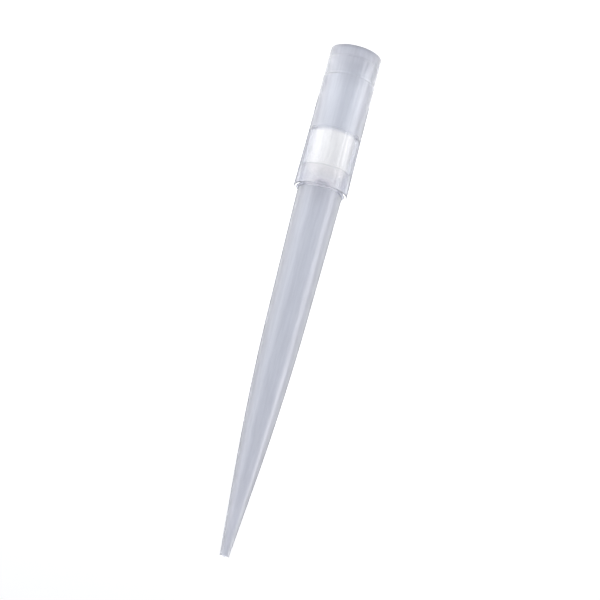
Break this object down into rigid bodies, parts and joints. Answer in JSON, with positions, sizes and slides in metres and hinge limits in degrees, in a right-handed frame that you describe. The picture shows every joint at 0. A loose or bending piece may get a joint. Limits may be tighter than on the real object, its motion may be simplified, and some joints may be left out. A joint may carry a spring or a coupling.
{
  "type": "pipette tip",
  "caption": "Long tapered translucent plastic pipette tip with an open socket and a skirt at the wide end, a white filter plug in the bore and a fine orifice.",
  "frame": {"origin": "centre of the wide rim's face, on which the tip stands", "axes": "+Z along the tip's axis from the rim to the orifice; the form is round, so X and Y are free"},
  "size_m": [0.0088, 0.0088, 0.086],
  "materials": {
    "polypropylene": "translucent moulded, smooth satin gloss",
    "sintered_polyethylene": "porous, dull white"
  },
  "bodies": {
    "root": {"tip_body": "polypropylene", "filter_plug": "sintered_polyethylene"}
  },
  "joints": []
}
